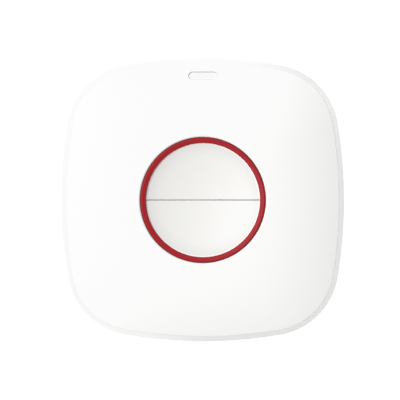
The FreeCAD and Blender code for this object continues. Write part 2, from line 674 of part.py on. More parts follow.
def door_seal():
    """Rubber ring that the door presses against the ledge."""
    radius = SEAL_CORD / 2
    centre = (SEAL_OUTER - radius, LEDGE_Z - radius - SEAL_CLEARANCE / 2)
    turns = [math.radians(360.0 * i / SEAL_SIDES) for i in range(SEAL_SIDES)]
    profile = [(centre[0] + radius * math.cos(a), centre[1] + radius * math.sin(a)) for a in turns]
    return turned(profile + profile[:1])


def battery_cushion():
    return disc(CUSHION_RADIUS, DOOR_INNER_Z, CELL_Z)


def coin_cell():
    """Cell with its can towards the door and its smaller cap towards the board."""
    shoulder = CELL_TOP_Z - CELL_CAP_HEIGHT
    crimp = CELL_RADIUS - CELL_ROUND
    profile = [
        (0, CELL_Z), (crimp, CELL_Z), (CELL_RADIUS, CELL_Z + CELL_ROUND),
        (CELL_RADIUS, shoulder - CELL_ROUND), (crimp, shoulder), (CELL_CAP_RADIUS + CELL_ROUND, shoulder),
        (CELL_CAP_RADIUS + CELL_ROUND / 2, shoulder - CELL_ROUND / 2), (CELL_CAP_RADIUS, shoulder),
        (CELL_CAP_RADIUS - CELL_ROUND / 2, CELL_TOP_Z), (0, CELL_TOP_Z), (0, CELL_Z),
    ]
    return turned(profile)


def battery_holder():
    """Moulded ring that guides the cell under the board, with a notch for the side contact."""
    body = ring(HOLDER_BORE + HOLDER_FLANGE, HOLDER_BORE, HOLDER_Z, HOLDER_Z + HOLDER_FLANGE_THICKNESS)
    body = body.fuse(ring(HOLDER_OUTER, HOLDER_BORE, HOLDER_Z, BOARD_Z))
    middle = (HOLDER_BORE + HOLDER_OUTER) / 2
    pegs = []
    for angle in HOLDER_PEG_ANGLES:
        at = point(angle, middle)
        pegs.append(disc(HOLDER_PEG_RADIUS, BOARD_Z, BOARD_Z + HOLDER_PEG_HEIGHT, at.x, at.y))
    notch = block(-HOLDER_BORE - 2 * HOLDER_FLANGE, 0, -HOLDER_NOTCH / 2, HOLDER_NOTCH / 2,
                  HOLDER_Z + HOLDER_FLANGE_THICKNESS, BOARD_Z)
    flange_notch = block(-HOLDER_OUTER, 0, -HOLDER_NOTCH / 2, HOLDER_NOTCH / 2, HOLDER_Z, BOARD_Z)
    return body.cut([notch, flange_notch]).fuse(pegs).removeSplitter()


def negative_contact():
    """Sprung strip under the board that presses on the cell's cap."""
    under = BOARD_Z - CONTACT_SHEET / 2
    touch = CELL_TOP_Z + CONTACT_SHEET / 2 + CONTACT_PLAY
    half = NEGATIVE_PAD / 2
    bend = -half - NEGATIVE_SLOPE
    path = [(bend - NEGATIVE_FOOT, under), (bend, under), (-half, touch), (half, touch),
            (half + NEGATIVE_TIP, touch + NEGATIVE_TIP_LIFT)]
    return ribbon(path, CONTACT_SHEET, CONTACT_WIDTH)


def positive_contact():
    """Sprung strip that presses on the side of the cell's can."""
    under = BOARD_Z - CONTACT_SHEET / 2
    touch = -CELL_RADIUS - CONTACT_SHEET / 2 - CONTACT_PLAY
    wall = -HOLDER_OUTER + CONTACT_SHEET
    low = HOLDER_Z + HOLDER_FLANGE_THICKNESS
    path = [(wall - POSITIVE_FOOT, under), (wall, under), (wall, under - POSITIVE_DROP),
            (touch, (under + low) / 2), (wall + POSITIVE_TIP, low)]
    return ribbon(path, CONTACT_SHEET, CONTACT_WIDTH)


def circuit_board():
    """Board with open corner notches for the cover bosses and holes for screws, pins and pegs."""
    board = slab(BOARD_INSET, BOARD_Z, BOARD_TOP_Z)
    holes = []
    for x, y in corners(COVER_SCREW_PLACE):
        holes.append(disc(FRONT_BOSS_RADIUS + BOARD_NOTCH_CLEARANCE, BOARD_Z, BOARD_TOP_Z, x, y))
    for side in (-1, 1):
        x, y = side * BOARD_FIXING_X, side * BOARD_FIXING_Y
        holes.append(disc(BOARD_PIN_RADIUS + BOARD_HOLE_CLEARANCE, BOARD_Z, BOARD_TOP_Z, x, y))
        holes.append(disc(BOARD_SCREW_SHANK + BOARD_HOLE_CLEARANCE, BOARD_Z, BOARD_TOP_Z, x, -y))
    middle = (HOLDER_BORE + HOLDER_OUTER) / 2
    for angle in HOLDER_PEG_ANGLES:
        at = point(angle, middle)
        holes.append(disc(HOLDER_PEG_RADIUS + BOARD_HOLE_CLEARANCE, BOARD_Z, BOARD_TOP_Z, at.x, at.y))
    return board.cut(holes)


def board_screws():
    return [
        screw(side * BOARD_FIXING_X, -side * BOARD_FIXING_Y, BOARD_TOP_Z, BOARD_SCREW_SHANK,
              BOARD_SCREW_LENGTH, BOARD_SCREW_HEAD, BOARD_SCREW_HEAD_HEIGHT, -1)
        for side in (-1, 1)
    ]


def switch_body(y):
    """Push switch with a chamber for its plunger and two legs on each side."""
    body = centred_block((SWITCH_WIDTH, SWITCH_WIDTH, SWITCH_HEIGHT), 0, y, BOARD_TOP_Z)
    chamber = disc(PLUNGER_RADIUS + PLUNGER_FLANGE + PLUNGER_CLEARANCE,
                   BOARD_TOP_Z + SWITCH_BASE_PLATE, SWITCH_TOP_Z - SWITCH_TOP_PLATE, 0, y)
    bore = disc(PLUNGER_RADIUS + PLUNGER_CLEARANCE, BOARD_TOP_Z + SWITCH_BASE_PLATE, SWITCH_TOP_Z, 0, y)
    legs = []
    size = (SWITCH_WIDTH + 2 * SWITCH_LEG_REACH, SWITCH_LEG_WIDTH, SWITCH_LEG_THICKNESS)
    for side in (-1, 1):
        legs.append(centred_block(size, 0, y + side * SWITCH_LEG_PITCH / 2, BOARD_TOP_Z))
    return body.fuse(legs).cut([chamber, bore]).removeSplitter()


def plunger(y):
    """Round plunger held in the switch by its foot flange."""
    top_plate_z = SWITCH_TOP_Z - SWITCH_TOP_PLATE
    foot_top = top_plate_z - PLUNGER_CLEARANCE
    foot = BOARD_TOP_Z + SWITCH_BASE_PLATE + PLUNGER_TRAVEL + PLUNGER_CLEARANCE
    profile = [
        (0, foot), (PLUNGER_RADIUS + PLUNGER_FLANGE, foot), (PLUNGER_RADIUS + PLUNGER_FLANGE, foot_top),
        (PLUNGER_RADIUS, foot_top), (PLUNGER_RADIUS, PLUNGER_TOP_Z), (0, PLUNGER_TOP_Z), (0, foot),
    ]
    shape = turned(profile)
    shape.translate(Vec(0, y, 0))
    return shape


def key_retainer():
    """Plate that clamps the membrane and bezel, with windows for the switches and screw ears."""
    plate = disc(RETAINER_RADIUS, RETAINER_Z, RETAINER_TOP_Z)
    ears = []
    cuts = []
    for x, y in corners(RETAINER_SCREW_PLACE):
        ears.append(disc(RETAINER_EAR_RADIUS, RETAINER_Z, RETAINER_TOP_Z, x, y))
        cuts.append(disc(RETAINER_SCREW_SHANK + SCREW_CLEARANCE, RETAINER_Z, RETAINER_TOP_Z, x, y))
    window = SWITCH_WIDTH + 2 * WINDOW_CLEARANCE
    for side in (-1, 1):
        cuts.append(centred_block((window, window, RETAINER_THICKNESS), 0, side * SWITCH_Y, RETAINER_Z))
    return plate.fuse(ears).cut(cuts).removeSplitter()


def retainer_screws():
    return [
        screw(x, y, RETAINER_Z, RETAINER_SCREW_SHANK, RETAINER_SCREW_LENGTH, RETAINER_SCREW_HEAD,
              RETAINER_SCREW_HEAD_HEIGHT, 1)
        for x, y in corners(RETAINER_SCREW_PLACE)
    ]


def key_membrane():
    """Silicone sheet with a nub for each key inside a thinned flexing ring."""
    sheet = disc(SKIRT_RADIUS, RETAINER_TOP_Z, MEMBRANE_TOP_Z)
    nubs = []
    grooves = []
    for side in (-1, 1):
        y = side * SWITCH_Y
        nubs.append(disc(NUB_RADIUS, MEMBRANE_TOP_Z, KEY_BOSS_Z - NUB_PLAY, 0, y))
        nubs.append(disc(NUB_TIP_RADIUS, PLUNGER_TOP_Z + NUB_PLAY, RETAINER_TOP_Z, 0, y))
        grooves.append(ring(NUB_RADIUS + FLEX_GROOVE_WIDTH, NUB_RADIUS,
                            MEMBRANE_TOP_Z - FLEX_GROOVE_DEPTH, MEMBRANE_TOP_Z, 0, y))
    return sheet.cut(grooves).fuse(nubs).removeSplitter()


def bezel_ring():
    """Round bezel: collar in the opening, lip over the keys, flange under the face and skirt."""
    flange_z = LAND_Z - BEZEL_FLANGE_THICKNESS
    profile = [
        (COLLAR_RADIUS, LAND_Z), (COLLAR_RADIUS, BEZEL_TOP_Z), (LIP_RADIUS, LIP_TOP_Z),
        (LIP_RADIUS, LIP_Z), (KEY_BORE, LIP_Z), (KEY_BORE, MEMBRANE_TOP_Z),
        (SKIRT_RADIUS, MEMBRANE_TOP_Z), (SKIRT_RADIUS, flange_z), (FLANGE_RADIUS, flange_z),
        (FLANGE_RADIUS, LAND_Z), (COLLAR_RADIUS, LAND_Z),
    ]
    body = turned(eased(eased(profile, 2, BEZEL_ROUND), 1, BEZEL_ROUND))
    ribs = []
    for side in (-1, 1):
        middle = side * (KEY_BORE + (BEZEL_SKIRT - GUIDE_RIB_DEPTH) / 2)
        size = (GUIDE_RIB_WIDTH, GUIDE_RIB_DEPTH + BEZEL_SKIRT, GUIDE_RIB_TOP_Z - MEMBRANE_TOP_Z)
        rib = centred_block(size, 0, middle, MEMBRANE_TOP_Z)
        ribs.append(rib.common(disc(SKIRT_RADIUS, MEMBRANE_TOP_Z, GUIDE_RIB_TOP_Z)))
    return body.fuse(ribs).removeSplitter()


def dished(radius, low, ball):
    """Turned puck whose top is a hollow ball about the centre of the dish."""
    ball_z = DISH_Z + DISH_BALL
    edge = min(radius, DISH_RADIUS)
    points = [Vec(r, 0, ball_z - math.sqrt(ball**2 - r**2)) for r in (0, edge / 2, edge)]
    rest = [points[-1], Vec(radius, 0, points[-1].z), Vec(radius, 0, low), Vec(0, 0, low), points[0]]
    if radius <= DISH_RADIUS:
        rest.pop(1)
    lines = [Part.makeLine(a, b) for a, b in zip(rest, rest[1:])]
    profile = Part.Wire([Part.Arc(*points).toShape(), *lines])
    return Part.Face(profile).revolve(Vec(), Vec(0, 0, 1), 360)


def key(side):
    """Half-disc key with a hollow back, a boss over its nub and stiffening ribs."""
    def half(low_y, low, high):
        shape = block(-BODY_HALF, BODY_HALF, low_y, BODY_HALF, low, high)
        if side < 0:
            shape.rotate(Vec(), Vec(0, 0, 1), 180)
        return shape

    high = KEY_RIM_Z + DISH_DEPTH
    body = dished(KEY_RADIUS, KEY_FLOOR_Z, DISH_BALL).common(half(KEY_SEAM / 2, KEY_FLOOR_Z, high))
    seam = [e for e in body.Edges if is_seam_edge(e, side)]
    body = body.makeFillet(KEY_SEAM_ROUND, seam)
    pocket = dished(KEY_RADIUS - KEY_WALL, KEY_FLOOR_Z, DISH_BALL + KEY_SKIN)
    pocket = pocket.common(half(KEY_SEAM / 2 + KEY_WALL, KEY_FLOOR_Z, high))
    y = side * SWITCH_Y
    rib_z = KEY_FLOOR_Z + KEY_RIB_LIFT
    stiff = [
        disc(KEY_BOSS_RADIUS, KEY_BOSS_Z, high, 0, y),
        centred_block((2 * KEY_RADIUS, KEY_RIB, high - rib_z), 0, y, rib_z),
        centred_block((KEY_RIB, 2 * KEY_RADIUS, high - rib_z), 0, 0, rib_z),
    ]
    body = body.cut(pocket.cut(stiff))
    slot_depth = GUIDE_RIB_DEPTH + GUIDE_CLEARANCE - KEY_CLEARANCE
    slot_top = GUIDE_RIB_TOP_Z + KEY_TRAVEL + GUIDE_CLEARANCE
    size = (GUIDE_RIB_WIDTH + 2 * GUIDE_CLEARANCE, 2 * slot_depth, slot_top - KEY_FLOOR_Z)
    return body.cut(centred_block(size, 0, side * KEY_RADIUS, KEY_FLOOR_Z)).removeSplitter()


def is_seam_edge(edge, side):
    """True for the top edge of a key along the seam."""
    box = edge.BoundBox
    on_seam = box.YLength < 1e-6 and abs(box.YMin - side * KEY_SEAM / 2) < 1e-6
    return on_seam and box.XLength > KEY_RADIUS and box.ZMin > KEY_FLOOR_Z + KEY_SKIN


def light_guide():
    """Clear guide from the lamp to the window, with a flange under the face."""
    tip_width = WINDOW_WIDTH - WINDOW_FIT - WINDOW_TOP_GAP
    tip_y = WINDOW_Y + (WINDOW_FIT - WINDOW_TOP_GAP) / 2
    tip = pill(WINDOW_LENGTH - 2 * WINDOW_FIT, tip_width, GUIDE_LAND_Z, FACE_EDGE_Z + DOME_RISE, 0, tip_y)
    tip = tip.common(pillow(0, WINDOW_SINK))
    half = GUIDE_FLANGE_LENGTH / 2
    flange = block(-half, half, WINDOW_Y - GUIDE_FLANGE_BACK, WINDOW_Y + GUIDE_FLANGE_FRONT,
                   GUIDE_LAND_Z - GUIDE_FLANGE_THICKNESS, GUIDE_LAND_Z)
    foot_z = BOARD_TOP_Z + LAMP_HEIGHT + LAMP_GAP
    foot = centred_block((GUIDE_FOOT_LENGTH, LAMP_WIDTH, GUIDE_LAND_Z - foot_z), 0, LAMP_Y, foot_z)
    return tip.fuse([flange, foot]).removeSplitter()


def signal_lamp():
    base = centred_block((LAMP_LENGTH, LAMP_WIDTH, LAMP_BASE), 0, LAMP_Y, BOARD_TOP_Z)
    lens = centred_block((*LAMP_LENS, LAMP_HEIGHT - LAMP_BASE), 0, LAMP_Y, BOARD_TOP_Z + LAMP_BASE)
    lens = lens.makeFillet(LAMP_LENS_ROUND, upright_edges(lens))
    return base.fuse(lens)


def control_chip():
    return centred_block((CHIP_SIZE, CHIP_SIZE, CHIP_HEIGHT), *CHIP_PLACE, BOARD_TOP_Z)


def timing_crystal():
    body = centred_block(CRYSTAL_SIZE, *CRYSTAL_PLACE, BOARD_TOP_Z)
    return body.makeFillet(CRYSTAL_ROUND, upright_edges(body))


def small_parts():
    places = list(SMALL_PART_PLACES)
    places += [(x, BODY_HALF - TOP_PART_INSET, 0) for x in TOP_PART_PLACES]
    places += [(x, BOTTOM_PART_INSET - BODY_HALF, 90) for x in BOTTOM_PART_PLACES]
    return [centred_block(SMALL_PART, x, y, BOARD_TOP_Z, turn) for x, y, turn in places]


def radio_shield():
    """Folded can over the radio, open towards the board, with vent holes in its lid."""
    can = centred_block((SHIELD_LENGTH, SHIELD_WIDTH, SHIELD_HEIGHT), 0, SHIELD_Y, BOARD_TOP_Z)
    can = can.makeFillet(2 * SHIELD_SHEET, upright_edges(can))
    wall = 2 * SHIELD_SHEET
    room = (SHIELD_LENGTH - wall, SHIELD_WIDTH - wall, SHIELD_HEIGHT - SHIELD_SHEET)
    cuts = [centred_block(room, 0, SHIELD_Y, BOARD_TOP_Z)]
    for column in range(SHIELD_VENT_COLUMNS):
        x = (column - (SHIELD_VENT_COLUMNS - 1) / 2) * SHIELD_VENT_PITCH
        for side in (-1, 1):
            y = SHIELD_Y + side * SHIELD_VENT_ROW_SHARE * SHIELD_WIDTH
            cuts.append(disc(SHIELD_VENT_RADIUS, BOARD_TOP_Z, BOARD_TOP_Z + SHIELD_HEIGHT, x, y))
    return can.cut(cuts)


def bulk_capacitor():
    x, y = CAPACITOR_PLACE
    base = centred_block((CAPACITOR_BASE, CAPACITOR_BASE, CAPACITOR_BASE_HEIGHT), x, y, BOARD_TOP_Z)
    can = disc(CAPACITOR_RADIUS, BOARD_TOP_Z, BOARD_TOP_Z + CAPACITOR_HEIGHT, x, y)
    can = round_edges(can, CAPACITOR_ROUND, BOARD_TOP_Z + CAPACITOR_HEIGHT)
    return base.fuse(can)


def antenna_strip():
    """Stamped strip on edge that follows the bow of the bottom side, with its legs on the board."""
    low = BOARD_TOP_Z + ANTENNA_LIFT
    high = low + ANTENNA_HEIGHT
    strip = [sector(ANTENNA_OUTER, ANTENNA_INNER, -90, 2 * ANTENNA_HALF_ANGLE, low, high)]
    for angle in ANTENNA_LEG_ANGLES:
        middle = -90 + angle + ANTENNA_LEG_ANGLE / 2
        leg = sector(ANTENNA_OUTER, ANTENNA_INNER, middle, ANTENNA_LEG_ANGLE, BOARD_TOP_Z, high)
        strip.append(leg)
    body = strip[0].fuse(strip[1:]).removeSplitter()
    body.translate(Vec(0, SIDE_RADIUS - BODY_HALF, 0))
    return body


NODES = {
    "front_cover": front_cover,
    "rear_cover": rear_cover,
    "cover_gasket": cover_gasket,
    "cover_screws": cover_screws,
    "bezel_ring": bezel_ring,
    "upper_key": lambda: key(1),
    "lower_key": lambda: key(-1),
    "key_membrane": key_membrane,
    "key_retainer": key_retainer,
    "retainer_screws": retainer_screws,
    "circuit_board": circuit_board,
    "board_screws": board_screws,
    "upper_switch": lambda: switch_body(SWITCH_Y),
    "lower_switch": lambda: switch_body(-SWITCH_Y),
    "upper_plunger": lambda: plunger(SWITCH_Y),
    "lower_plunger": lambda: plunger(-SWITCH_Y),
    "light_guide": light_guide,
    "signal_lamp": signal_lamp,
    "control_chip": control_chip,
    "timing_crystal": timing_crystal,
    "small_parts": small_parts,
    "radio_shield": radio_shield,
    "bulk_capacitor": bulk_capacitor,
    "antenna_strip": antenna_strip,
    "coin_cell": coin_cell,
    "battery_holder": battery_holder,
    "negative_contact": negative_contact,
    "positive_contact": positive_contact,
    "battery_door": battery_door,
    "door_seal": door_seal,
    "battery_cushion": battery_cushion,
}

os.makedirs("parts", exist_ok=True)
for name, make in NODES.items():
    made = make()
    shape = Part.makeCompound(made) if isinstance(made, list) else made
    shape.exportStep(f"parts/{name}.step")
    print(f"{name}: {len(shape.Solids)} solid(s), {shape.Volume:.2f} mm3, valid {shape.isValid()}")
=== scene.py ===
# %% [markdown]
# # A wireless panic button
# A white, pillow-shaped transmitter about 60 mm across. A crimson bezel in the middle
# frames a round, dished button, which is cut along its diameter into two keys.
# Every part comes from the CAD frame with its true form, already in place and in metres.
# This lesson gives each part the finish of the real one, and lights and frames the
# picture.

# %% Load the frame
import bmesh
import bpy
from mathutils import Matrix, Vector


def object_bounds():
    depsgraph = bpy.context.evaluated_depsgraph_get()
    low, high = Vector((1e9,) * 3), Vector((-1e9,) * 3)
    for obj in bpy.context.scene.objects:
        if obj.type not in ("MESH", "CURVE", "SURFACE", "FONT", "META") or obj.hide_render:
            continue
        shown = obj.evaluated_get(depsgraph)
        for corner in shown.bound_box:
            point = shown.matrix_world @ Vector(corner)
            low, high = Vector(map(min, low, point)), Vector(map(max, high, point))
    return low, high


MM = 1000

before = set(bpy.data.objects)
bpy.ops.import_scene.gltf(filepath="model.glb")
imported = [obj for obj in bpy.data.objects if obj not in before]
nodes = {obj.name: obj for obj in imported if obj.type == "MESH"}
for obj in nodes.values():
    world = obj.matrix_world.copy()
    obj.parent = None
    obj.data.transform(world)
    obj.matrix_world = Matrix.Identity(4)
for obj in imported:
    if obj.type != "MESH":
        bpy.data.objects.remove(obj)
cad_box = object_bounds()
corners = [round(v * MM, 2) for v in (*cad_box[0], *cad_box[1])]
print("CAD parts:", len(nodes), "box in mm:", corners)

# %% [markdown]
# ## Camera
# The photograph looks straight at the face through a long lens, with the body a little
# right of the middle. A camera two metres up, looking straight down, needs no rotation:
# its own +Y is the picture's up. The lens follows from the width that the picture
# covers where the two covers meet. A short lens close by would bulge the dome.

# %% Camera
FRAME_WIDTH = 0.08493
FRAMED_HEIGHT = 0.0044
CAMERA_HEIGHT = 2.0
CAMERA_PLACE = (-0.000625, 0.000017)
SENSOR_WIDTH = 36.0
CLIP_RANGE = (0.1, 10.0)

camera_data = bpy.data.cameras.new("camera")
camera_data.sensor_width = SENSOR_WIDTH
camera_data.lens = SENSOR_WIDTH * (CAMERA_HEIGHT - FRAMED_HEIGHT) / FRAME_WIDTH
camera_data.clip_start, camera_data.clip_end = CLIP_RANGE
camera = bpy.data.objects.new("camera", camera_data)
camera.location = (*CAMERA_PLACE, CAMERA_HEIGHT)
bpy.context.scene.collection.objects.link(camera)
bpy.context.scene.camera = camera
print("lens:", round(camera_data.lens), "mm")

# %% [markdown]
# ## Tone
# The photograph is nearly all white. The picture keeps the scene's own values almost up
# to white, and then holds the brightest slopes back by a hair, as film does, so that the
# body doesn't melt into its ground. The Standard transform with a short curve does both.
# A filmic transform would turn the whites grey.

# %% Tone curve
SHOULDER = ((0.0, 0.0), (0.96, 0.96), (1.2, 0.98), (1.36, 1.0))
ALL_CHANNELS = 3

view = bpy.context.scene.view_settings
view.view_transform = "Standard"
view.use_curve_mapping = True
mapping = view.curve_mapping
mapping.use_clip = False
master = mapping.curves[ALL_CHANNELS]
for point, place in zip(master.points, (SHOULDER[0], SHOULDER[-1])):
    point.location = place
for place in SHOULDER[1:-1]:
    master.points.new(*place)
for point in master.points:
    point.handle_type = "VECTOR"
mapping.update()
print("curve points:", len(master.points))

# %% [markdown]
# ## Two tools for node trees
# Most of the node work below is one of two small jobs: to stretch one range of values
# over another, or to do a sum with one or two values. A function for each keeps the
# later steps short and easy to read.

# %% Spread and combine
def spread(tree, source, start, end, low, high, smooth=False):
    """Map Range node that takes start..end to low..high; gives its result socket."""
    node = tree.nodes.new("ShaderNodeMapRange")
    if smooth:
        node.interpolation_type = "SMOOTHSTEP"
    ends = {"From Min": start, "From Max": end, "To Min": low, "To Max": high}
    for label, value in ends.items():
        node.inputs[label].default_value = value
    tree.links.new(source, node.inputs["Value"])
    return node.outputs["Result"]


def combine(tree, operation, first, second=0.0):
    """Math node on a socket, with a second socket or number where it takes one."""
    node = tree.nodes.new("ShaderNodeMath")
    node.operation = operation
    tree.links.new(first, node.inputs[0])
    if isinstance(second, float):
        node.inputs[1].default_value = second
    else:
        tree.links.new(second, node.inputs[1])
    return node.outputs["Value"]


print("tools:", spread.__name__, combine.__name__)

# %% [markdown]
# ## Light
# The tones on the dome fall off to the right and a little to the bottom, so the main
# light is a wide soft box to the left and slightly up. An even world fills the rest. It
# is a touch warm, because the shaded side of the dome is, while the lit side is neutral.
# A small hard lamp would cast shadows that the photograph doesn't show. The ground of
# the photograph has burnt out, so what the camera sees of the world is brighter than
# what it gives the body.

# %% World
WORLD_FILL = 0.425
WORLD_TONE = (1.0, 0.996, 0.955, 1.0)
BURNT_OUT = 1.5

world = bpy.data.worlds.new("studio")
bpy.context.scene.world = world
world.use_nodes = True
world_tree = world.node_tree
sky = world_tree.nodes["Background"]
sky.inputs["Color"].default_value = WORLD_TONE
seen = world_tree.nodes.new("ShaderNodeLightPath").outputs["Is Camera Ray"]
sky_strength = spread(world_tree, seen, 0.0, 1.0, WORLD_FILL, BURNT_OUT)
world_tree.links.new(sky_strength, sky.inputs["Strength"])
print("world fills with", WORLD_FILL, "and shows as", BURNT_OUT)

# %% Soft box
BOX_AIM = Vector((-0.62, 0.25, 1.0)).normalized()
BOX_DISTANCE = 1.0
BOX_SIZE = 0.5
BOX_POWER = 9.0

box_data = bpy.data.lights.new("soft_box", "AREA")
box_data.size = BOX_SIZE
box_data.energy = BOX_POWER
soft_box = bpy.data.objects.new("soft_box", box_data)
soft_box.location = BOX_AIM * BOX_DISTANCE
soft_box.rotation_mode = "QUATERNION"
soft_box.rotation_quaternion = BOX_AIM.to_track_quat("Z", "Y")
soft_box.visible_camera = False
bpy.context.scene.collection.objects.link(soft_box)
print("soft box at", [round(v, 3) for v in soft_box.location])

# %% [markdown]
# ## Effects that several finishes share
# A small node group is like a jig on the bench: built once, then set differently for
# each material. The first gives the fine eroded grain that a steel mould leaves on
# plastic, and a slow drift of tone. The second gives the fine lines of rolled or turned
# metal. The third gives the copper tracks and joints that show through the lacquer of a
# circuit board. Each puts out plain values only, and every material keeps its own shader.

# %% Helpers for node groups
def start_group(name, inputs, outputs):
    """New shader node group with named number inputs and outputs."""
    group = bpy.data.node_groups.new(name, "ShaderNodeTree")
    kind = {"socket_type": "NodeSocketFloat"}
    for label, value in inputs:
        group.interface.new_socket(label, in_out="INPUT", **kind).default_value = value
    for label in outputs:
        group.interface.new_socket(label, in_out="OUTPUT", **kind)
    return group, group.nodes.new("NodeGroupInput"), group.nodes.new("NodeGroupOutput")


def noise(tree, coords, scale):
    """Noise node on a coordinate socket, its scale a number or a socket; gives its value."""
    node = tree.nodes.new("ShaderNodeTexNoise")
    tree.links.new(coords, node.inputs["Vector"])
    if isinstance(scale, float):
        node.inputs["Scale"].default_value = scale
    else:
        tree.links.new(scale, node.inputs["Scale"])
    return node.outputs["Fac"]


print("helpers:", start_group.__name__, noise.__name__)

# %% Moulded grain
MOTTLE_SCALE = 55.0
COARSE_STEP = 0.25

grain, grain_in, grain_out = start_group(
    "moulded_grain", [("Scale", 9000.0), ("Coarse Share", 0.3)], ["Height", "Mottle"])
coords = grain.nodes.new("ShaderNodeTexCoord").outputs["Object"]
fine_scale = grain_in.outputs["Scale"]
blend = grain.nodes.new("ShaderNodeMix")
grain.links.new(grain_in.outputs["Coarse Share"], blend.inputs["Factor"])
grain.links.new(noise(grain, coords, fine_scale), blend.inputs["A"])
coarse_scale = combine(grain, "MULTIPLY", fine_scale, COARSE_STEP)
grain.links.new(noise(grain, coords, coarse_scale), blend.inputs["B"])
grain.links.new(blend.outputs["Result"], grain_out.inputs["Height"])
grain.links.new(noise(grain, coords, MOTTLE_SCALE), grain_out.inputs["Mottle"])
print("node group:", grain.name)

# %% Metal lines
METAL_PATCH_SCALE = 220.0

lines, lines_in, lines_out = start_group(
    "metal_lines", [("Scale", 3000.0), ("Stretch", 0.04)], ["Height", "Mottle"])
coords = lines.nodes.new("ShaderNodeTexCoord").outputs["Object"]
squeeze = lines.nodes.new("ShaderNodeCombineXYZ")
squeeze.inputs["Y"].default_value = 1.0
squeeze.inputs["Z"].default_value = 1.0
lines.links.new(lines_in.outputs["Stretch"], squeeze.inputs["X"])
stretched = lines.nodes.new("ShaderNodeVectorMath")
stretched.operation = "MULTIPLY"
lines.links.new(coords, stretched.inputs[0])
lines.links.new(squeeze.outputs[0], stretched.inputs[1])
streaks = noise(lines, stretched.outputs[0], lines_in.outputs["Scale"])
lines.links.new(streaks, lines_out.inputs["Height"])
lines.links.new(noise(lines, coords, METAL_PATCH_SCALE), lines_out.inputs["Mottle"])
print("node group:", lines.name)

# %% [markdown]
# The tracks run in straight rows, level in some areas of the board and upright in
# others, and each row is broken into lengths, of which some are left out. So the board
# is cut into square areas, a random number for each area picks its direction, and two
# more shift a row's breaks and drop some of its lengths.

# %% Cells and chance
def chance(tree, first, second):
    """Random number for each pair of whole numbers, from two sockets."""
    pair = tree.nodes.new("ShaderNodeCombineXYZ")
    tree.links.new(first, pair.inputs["X"])
    tree.links.new(second, pair.inputs["Y"])
    dice = tree.nodes.new("ShaderNodeTexWhiteNoise")
    dice.noise_dimensions = "2D"
    tree.links.new(pair.outputs[0], dice.inputs["Vector"])
    return dice.outputs["Value"]


def cell_number(tree, source, step):
    """Whole number of the cell of a given size that a coordinate falls in."""
    return combine(tree, "FLOOR", combine(tree, "DIVIDE", source, step))


print("helpers:", chance.__name__, cell_number.__name__)

# %% Areas with level or upright tracks
TRACK_AREA = 0.0072
LEVEL_SHARE = 0.5

copper, _, copper_out = start_group("board_copper", [], ["Height", "Mottle"])
coords = copper.nodes.new("ShaderNodeTexCoord").outputs["Object"]
parted = copper.nodes.new("ShaderNodeSeparateXYZ")
copper.links.new(coords, parted.inputs[0])
level, upright = parted.outputs["X"], parted.outputs["Y"]
areas = [cell_number(copper, side, TRACK_AREA) for side in (level, upright)]
turned = combine(copper, "GREATER_THAN", chance(copper, *areas), LEVEL_SHARE)
ways = []
for straight, crossed in ((level, upright), (upright, level)):
    way = copper.nodes.new("ShaderNodeMix")
    copper.links.new(turned, way.inputs["Factor"])
    copper.links.new(straight, way.inputs["A"])
    copper.links.new(crossed, way.inputs["B"])
    ways.append(way.outputs["Result"])
along, across = ways
print("areas of", TRACK_AREA * MM, "mm")

# %% Copper under the green mask
TRACK_PITCH = 0.0009
TRACK_LENGTH = 0.0045
TRACK_HALF_WIDTH = 0.2
TRACK_SHARE = 0.62
ROW_SHIFT = 7.0
ROW_MIDDLE = 0.5
VIA_SCALE = 420.0
VIA_SIZE = 0.16

row = cell_number(copper, across, TRACK_PITCH)
shift = combine(copper, "MULTIPLY", chance(copper, row, row), ROW_SHIFT)
steps = combine(copper, "ADD", combine(copper, "DIVIDE", along, TRACK_LENGTH), shift)
stretch = combine(copper, "FLOOR", steps)
kept = combine(copper, "LESS_THAN", chance(copper, stretch, row), TRACK_SHARE)
in_row = combine(copper, "FRACT", combine(copper, "DIVIDE", across, TRACK_PITCH))
off_middle = combine(copper, "ABSOLUTE", combine(copper, "SUBTRACT", in_row, ROW_MIDDLE))
track = combine(copper, "LESS_THAN", off_middle, TRACK_HALF_WIDTH)
dots = copper.nodes.new("ShaderNodeTexVoronoi")
dots.inputs["Scale"].default_value = VIA_SCALE
copper.links.new(coords, dots.inputs["Vector"])
joint = combine(copper, "LESS_THAN", dots.outputs["Distance"], VIA_SIZE)
metal_here = combine(copper, "MAXIMUM", combine(copper, "MULTIPLY", track, kept), joint)
for label in ("Height", "Mottle"):
    copper.links.new(metal_here, copper_out.inputs[label])
print("node group:", copper.name)

# %% [markdown]
# ## Finishes
# One function wires a finish: two close tones mixed by the slow drift, a roughness that
# moves a little with it, and the grain as bump. What is the same all over a surface,
# such as its metal or its gloss, is set on the shader itself.

# %% A function that makes a finish
GRAIN_DEPTH = 0.00002


